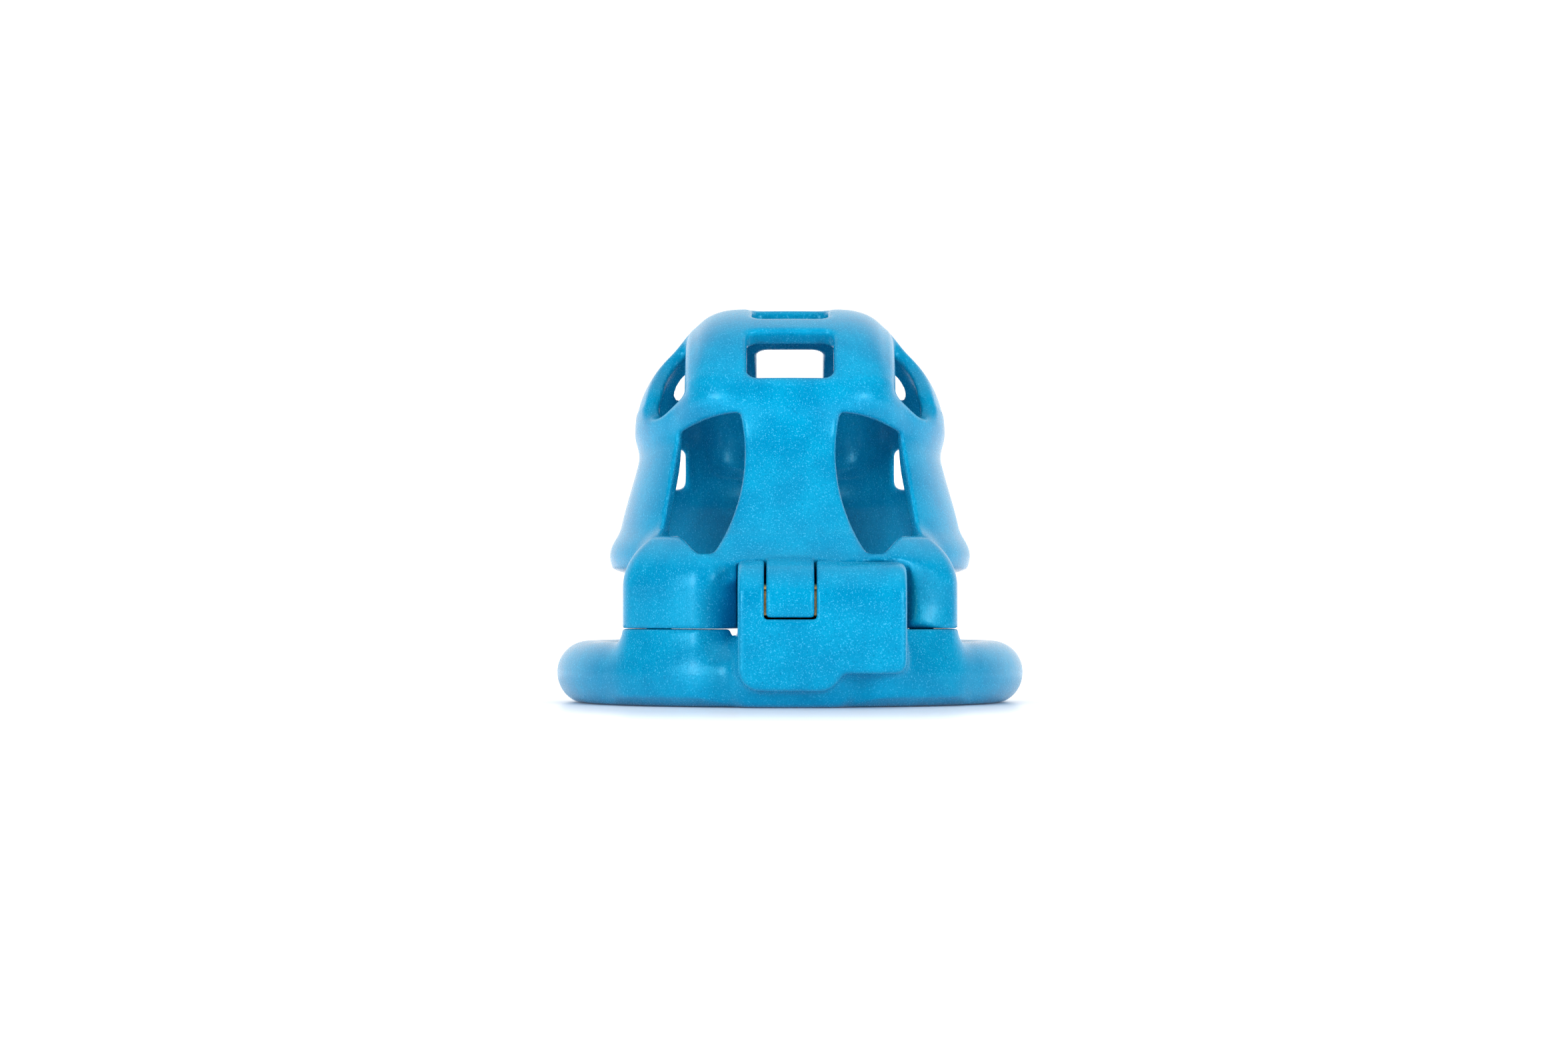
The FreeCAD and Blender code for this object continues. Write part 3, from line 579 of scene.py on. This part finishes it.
def makeWaferTree(material):
    number, vector = "NodeSocketFloat", "NodeSocketVector"
    tree, sizes = newTree("stampedWafer", {"Corner": number, "Thickness": number, "Hole width": number,
                                           "Hole height": number, "Hole place": vector, "Seat": vector})
    outline = addNode(tree, "GeometryNodeMeshToCurve", inputs={"Mesh": sizes["Geometry"]})
    rounded = addNode(tree, "GeometryNodeFilletCurve", inputs={"Curve": outline, "Radius": sizes["Corner"]})
    rounded.node.mode = "POLY"
    rounded.node.inputs["Limit Radius"].default_value = True
    rounded.node.inputs["Count"].default_value = 4
    hole = addNode(tree, "GeometryNodeCurvePrimitiveQuadrilateral",
                   inputs={"Width": sizes["Hole width"], "Height": sizes["Hole height"]})
    placed = addNode(tree, "GeometryNodeTransform",
                     inputs={"Geometry": hole, "Translation": sizes["Hole place"]})
    both = tree.nodes.new("GeometryNodeJoinGeometry")
    tree.links.new(placed, both.inputs[0])
    tree.links.new(rounded, both.inputs[0])
    face = addNode(tree, "GeometryNodeFillCurve", inputs={"Curve": both.outputs[0]})
    plate = addNode(tree, "GeometryNodeExtrudeMesh",
                    inputs={"Mesh": face, "Offset Scale": sizes["Thickness"]})
    plate.node.inputs["Individual"].default_value = False
    under = addNode(tree, "GeometryNodeFlipFaces", inputs={"Mesh": face})
    closed = tree.nodes.new("GeometryNodeJoinGeometry")
    tree.links.new(plate, closed.inputs[0])
    tree.links.new(under, closed.inputs[0])
    merged = addNode(tree, "GeometryNodeMergeByDistance",
                     inputs={"Geometry": closed.outputs[0], "Distance": 1e-6})
    # the outline lies flat: it is stood up across the lock's axis and moved to its place
    stood = addNode(tree, "GeometryNodeTransform", inputs={
        "Geometry": merged, "Rotation": (math.pi / 2, 0, math.pi / 2), "Translation": sizes["Seat"]})
    finishTree(tree, stood, material)
    return tree


# Shader maths: a field is one socket, and the operators add Math nodes to it.
class Field:
    def __init__(self, tree, socket):
        self.tree = tree
        self.socket = socket

    def node(self, kind, settings=None, inputs=None, output=0):
        made = self.tree.nodes.new(kind)
        for key, value in (settings or {}).items():
            if key == "stops":
                for element, (place, colour) in zip(made.color_ramp.elements, value):
                    element.position = place
                    element.color = (*colour, 1)
            else:
                setattr(made, key, value)
        for key, value in (inputs or {}).items():
            if isinstance(value, Field):
                self.tree.links.new(value.socket, made.inputs[key])
            else:
                made.inputs[key].default_value = value
        return Field(self.tree, made.outputs[output]) if made.outputs else made

    def maths(self, operation, first, second=None):
        inputs = {0: first} if second is None else {0: first, 1: second}
        return self.node("ShaderNodeMath", {"operation": operation}, inputs)

    def __add__(self, other):
        return self.maths("ADD", self, other)

    def __radd__(self, other):
        return self.maths("ADD", other, self)

    def __sub__(self, other):
        return self.maths("SUBTRACT", self, other)

    def __rsub__(self, other):
        return self.maths("SUBTRACT", other, self)

    def __mul__(self, other):
        return self.maths("MULTIPLY", self, other)

    def __rmul__(self, other):
        return self.maths("MULTIPLY", other, self)

    def between(self, low, high):
        # 0 below low, 1 above high, smooth in between
        return self.node("ShaderNodeMapRange", {"interpolation_type": "SMOOTHSTEP"},
                         {"Value": self, "From Min": low, "From Max": high})


def startMaterial(name):
    material = bpy.data.materials.new(name)
    material.use_nodes = True
    tree = material.node_tree
    tree.nodes.clear()
    place = Field(tree, tree.nodes.new("ShaderNodeTexCoord").outputs["Object"])
    return material, place


def finishMaterial(place, inputs):
    shader = place.node("ShaderNodeBsdfPrincipled", inputs=inputs)
    place.node("ShaderNodeOutputMaterial", inputs={"Surface": shader})


def noise(place, size, detail=2.0, roughness=0.5):
    # a noise whose grains are about size metres wide
    return place.node("ShaderNodeTexNoise", inputs={"Vector": place, "Scale": 1 / size, "Detail": detail,
                                                    "Roughness": roughness})


def mixColour(place, factor, first, second):
    mixed = place.node("ShaderNodeMix", {"data_type": "RGBA"}, {0: factor}, output=2)
    for index, colour in ((6, first), (7, second)):
        if isinstance(colour, Field):
            place.tree.links.new(colour.socket, mixed.socket.node.inputs[index])
        else:
            mixed.socket.node.inputs[index].default_value = (*colour, 1)
    return mixed


nylonLook = {"deep": (0.0, 0.235, 0.45), "mid": (0.0, 0.29, 0.52), "grain": (0.10, 0.56, 0.86),
             "grainSize": 0.00019, "mottle": 0.0045, "orangePeel": 0.0008, "layer": 0.00012,
             "roughness": 0.24, "peelDepth": 0.00002, "grainDepth": 0.000022, "layerDepth": 0.0000035,
             "pit": (0.0, 0.11, 0.27), "pitShare": 0.45, "speckShare": 0.4, "coat": 0.05,
             "tint": (0.12, 0.72, 1.0, 1)}


def makeNylon():
    look = nylonLook
    material, place = startMaterial("dyedNylon")
    mottle = noise(place, look["mottle"], 3.0)
    grain = noise(place, look["grainSize"], 1.5, 0.6)
    specks = grain.between(0.58, 0.70)
    pits = 1 - grain.between(0.30, 0.42)
    colour = mixColour(place, mottle.between(0.3, 0.7), look["deep"], look["mid"])
    colour = mixColour(place, pits * look["pitShare"], colour, look["pit"])
    colour = mixColour(place, specks * look["speckShare"], colour, look["grain"])
    peel = noise(place, look["orangePeel"], 2.0)
    across = place.node("ShaderNodeSeparateXYZ", inputs={"Vector": place})
    layers = place.maths("SINE", across * (2 * math.pi / look["layer"]))
    height = peel * look["peelDepth"] + grain * look["grainDepth"] + layers * (look["layerDepth"] / 2)
    bump = place.node("ShaderNodeBump", inputs={"Strength": 1.0, "Distance": 1.0, "Height": height})
    finishMaterial(place, {
        "Base Color": colour,
        "Roughness": look["roughness"] + 0.22 * (mottle - 0.5) + 0.18 * specks,
        "Normal": bump,
        "Coat Weight": look["coat"],
        "Coat Roughness": 0.16,
        "Specular IOR Level": 0.5,
        "Specular Tint": look["tint"],
        "IOR": 1.45,
    })
    return material


metalLook = {"brass": (0.74, 0.53, 0.23), "tarnish": (0.42, 0.25, 0.09), "steel": (0.58, 0.58, 0.6),
             "dull": (0.3, 0.3, 0.31), "lineSize": 0.00007, "stain": 0.0022, "lineDepth": 0.0000025}


def makeMetal(name, bright, dark, axis, roughness):
    # turned metal: fine rings round the lock's axis on a barrel, and circles on its end faces
    look = metalLook
    material, place = startMaterial(name)
    moved = place.node("ShaderNodeVectorMath", {"operation": "SUBTRACT"},
                       {0: place, 1: (0, lockY * mm, lockZ * mm)})
    along = moved.node("ShaderNodeSeparateXYZ", inputs={"Vector": moved})
    flat = moved.node("ShaderNodeVectorMath", {"operation": "MULTIPLY"}, {0: moved, 1: (0, 1, 1)})
    reach = flat.node("ShaderNodeVectorMath", {"operation": "LENGTH"}, {0: flat}, output=1)
    track = along + reach if axis else along
    lines = track.node("ShaderNodeTexNoise", {"noise_dimensions": "1D"},
                       {"W": track, "Scale": 1 / look["lineSize"], "Detail": 2.0})
    stain = noise(place, look["stain"], 4.0, 0.6)
    scuff = noise(place, look["stain"] / 6, 3.0)
    colour = mixColour(place, stain.between(0.48, 0.72) * 0.6, bright, dark)
    height = lines * look["lineDepth"] + scuff * look["lineDepth"]
    bump = place.node("ShaderNodeBump", inputs={"Strength": 1.0, "Distance": 1.0, "Height": height})
    finishMaterial(place, {"Base Color": colour, "Metallic": 1.0, "Normal": bump,
                           "Roughness": roughness + 0.16 * (stain - 0.5) + 0.12 * (lines - 0.5)})
    return material


nylon = makeNylon()
brass = makeMetal("turnedBrass", metalLook["brass"], metalLook["tarnish"], True, 0.28)
stamped = makeMetal("stampedBrass", metalLook["brass"], metalLook["tarnish"], False, 0.34)
steel = makeMetal("brightSteel", metalLook["steel"], metalLook["dull"], False, 0.24)
print("materials made")


# each spring is one coil from its seat in the plug up to the wafer's ear, sized from its imported part
springTree = makeSpringTree(steel)
waferTree = makeWaferTree(stamped)
spring = {"wire": 0.06, "turns": 4.0, "coil": 0.22}
wafer = {"halfWidth": 1.2, "earOut": 2.0, "earHalf": 0.3, "corner": 0.14, "holeHalf": 0.65, "holeHigh": 2.0}


def keyHoleHeight(node):
    # the middle of the key's hole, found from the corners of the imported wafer
    heights = sorted({round(v.co.z / mm - lockZ, 3) for v in node.data.vertices
                      if abs(abs(v.co.y / mm - lockY) - wafer["holeHalf"]) < 0.01})
    inner = [h for h in heights if abs(h) < 1.6]
    return (inner[0] + inner[-1]) / 2


for name in wafers:
    low, high = (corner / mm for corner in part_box(name))
    springLow, springHigh = (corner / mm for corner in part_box(name.replace("wafer_", "wafer_spring_")))
    half, top, ear, earOut = wafer["halfWidth"], high.z - lockZ, wafer["earHalf"], wafer["earOut"]
    corners = [(-half, -top), (half, -top), (half, -ear), (earOut, -ear), (earOut, ear), (half, ear),
               (half, top), (-half, top)]
    count = len(corners)
    middle = keyHoleHeight(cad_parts[name])
    piece = stampOut(name + "_stamped", waferTree, {
        "Corner": wafer["corner"] * mm, "Thickness": (high.x - low.x) * mm,
        "Hole width": 2 * wafer["holeHalf"] * mm, "Hole height": wafer["holeHigh"] * mm,
        "Hole place": (0.0, middle * mm, 0.0), "Seat": (low.x * mm, lockY * mm, lockZ * mm),
    }, [(v * mm, w * mm, 0) for v, w in corners], [(i, (i + 1) % count) for i in range(count)])
    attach(piece, name)
    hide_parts(name)

    seat = ((springLow.x + springHigh.x) / 2, (springLow.y + springHigh.y) / 2, springLow.z + spring["wire"])
    height = springHigh.z - springLow.z - 2 * spring["wire"]
    coil = stampOut(name.replace("wafer_", "coil_spring_"), springTree, {
        "Coil radius": spring["coil"] * mm, "Wire radius": spring["wire"] * mm, "Height": height * mm,
        "Turns": spring["turns"], "Seat": tuple(v * mm for v in seat)})
    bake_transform(coil)
    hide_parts(name.replace("wafer_", "wafer_spring_"))
print("wafers and springs made:", len(wafers))

for piece, body, node in ((cagePiece, "cage", "cage"), (ringPiece, "base", "base_ring")):
    piece.data.materials.append(nylon)
    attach(piece, body)
    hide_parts(node)
for node, piece in turned.items():
    piece.data.materials.append(brass)
    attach(piece, "lock_cartridge" if node == "lock_sleeve" else "lock_plug")
    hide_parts(node)
for name in ("stop_pin", "spindle_pin"):
    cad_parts[name].data.materials.clear()
    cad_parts[name].data.materials.append(steel)


studio = {"floorHalf": 3.0, "cameraDistance": 0.585, "cameraHeight": 0.0157, "cameraSide": -0.0008,
          "pitchUp": 0.82, "lens": 100, "sensor": 36, "clearFrom": 0.045, "clearTo": 0.11,
          "floorColour": (0.93, 0.95, 1.0, 1), "floorNear": (0.05, 0.05, 0.055), "floorGlow": 0.5,
          "frontDark": 0.08, "topBright": 0.95, "topFrom": 0.62, "topTo": 0.70,
          "backBright": 1.35, "backFrom": 0.05, "backTo": 0.65, "seenWhite": 1.06}
softbox = {"aside": 0.42, "out": -0.46, "high": 0.16, "size": (0.13, 0.24), "power": 2.2}
overhead = {"place": (0, -0.25, 0.6), "size": (0.6, 0.5), "power": 0.3}
lightTarget = (0, 0, 0.02)


def makeFloor():
    half = studio["floorHalf"]
    mesh = bpy.data.meshes.new("floor")
    corners = [(-half, -half, 0), (half, -half, 0), (half, half, 0), (-half, half, 0)]
    mesh.from_pydata(corners, [], [(0, 1, 2, 3)])
    floor = bpy.data.objects.new("floor", mesh)
    bpy.context.scene.collection.objects.link(floor)
    material, place = startMaterial("paleFloor")
    reach = place.node("ShaderNodeVectorMath", {"operation": "LENGTH"}, {0: place}, output=1)
    glow = reach.between(studio["clearFrom"], studio["clearTo"])
    finishMaterial(place, {"Base Color": studio["floorColour"], "Roughness": 0.3,
                           "Emission Color": mixColour(place, glow, studio["floorNear"], (1, 1, 1)),
                           "Emission Strength": studio["floorGlow"]})
    floor.data.materials.append(material)


def makeWorld():
    # dark in front, bright above and behind, and white where the camera sees it
    world = bpy.data.worlds.new("studio")
    bpy.context.scene.world = world
    world.use_nodes = True
    tree = world.node_tree
    tree.nodes.clear()
    way = Field(tree, tree.nodes.new("ShaderNodeTexCoord").outputs["Generated"])
    parts = tree.nodes.new("ShaderNodeSeparateXYZ")
    tree.links.new(way.socket, parts.inputs[0])
    back, up = Field(tree, parts.outputs["Y"]), Field(tree, parts.outputs["Z"])
    top = up.between(studio["topFrom"], studio["topTo"]) * (studio["topBright"] - studio["frontDark"])
    behind = back.between(studio["backFrom"], studio["backTo"])
    behind = behind * (studio["backBright"] - studio["frontDark"])
    strength = studio["frontDark"] + way.maths("MAXIMUM", top, behind)
    seen = Field(tree, tree.nodes.new("ShaderNodeLightPath").outputs["Is Camera Ray"])
    strength = way.maths("MAXIMUM", strength, seen * studio["seenWhite"])
    sky = way.node("ShaderNodeBackground", inputs={"Color": (1, 1, 1, 1), "Strength": strength})
    way.node("ShaderNodeOutputWorld", inputs={"Surface": sky})


def areaLight(name, place, size, power):
    data = bpy.data.lights.new(name, "AREA")
    data.shape = "RECTANGLE"
    data.size, data.size_y = size
    data.energy = power
    lamp = bpy.data.objects.new(name, data)
    lamp.location = place
    lamp.rotation_euler = (Vector(lightTarget) - Vector(place)).to_track_quat("-Z", "Y").to_euler()
    bpy.context.scene.collection.objects.link(lamp)


def makeCamera():
    data = bpy.data.cameras.new("camera")
    data.lens = studio["lens"]
    data.sensor_width = studio["sensor"]
    data.clip_start = 0.01
    camera = bpy.data.objects.new("camera", data)
    camera.location = (studio["cameraSide"], ringY * mm - studio["cameraDistance"], studio["cameraHeight"])
    camera.rotation_euler = (math.radians(90 + studio["pitchUp"]), 0, 0)
    bpy.context.scene.collection.objects.link(camera)
    bpy.context.scene.camera = camera


makeFloor()
makeWorld()
for side, name in ((-1, "softboxLeft"), (1, "softboxRight")):
    place = (side * softbox["aside"], softbox["out"], softbox["high"])
    areaLight(name, place, softbox["size"], softbox["power"])
areaLight("overhead", overhead["place"], overhead["size"], overhead["power"])
makeCamera()
bpy.context.scene.view_settings.view_transform = "Standard"
print("studio ready")
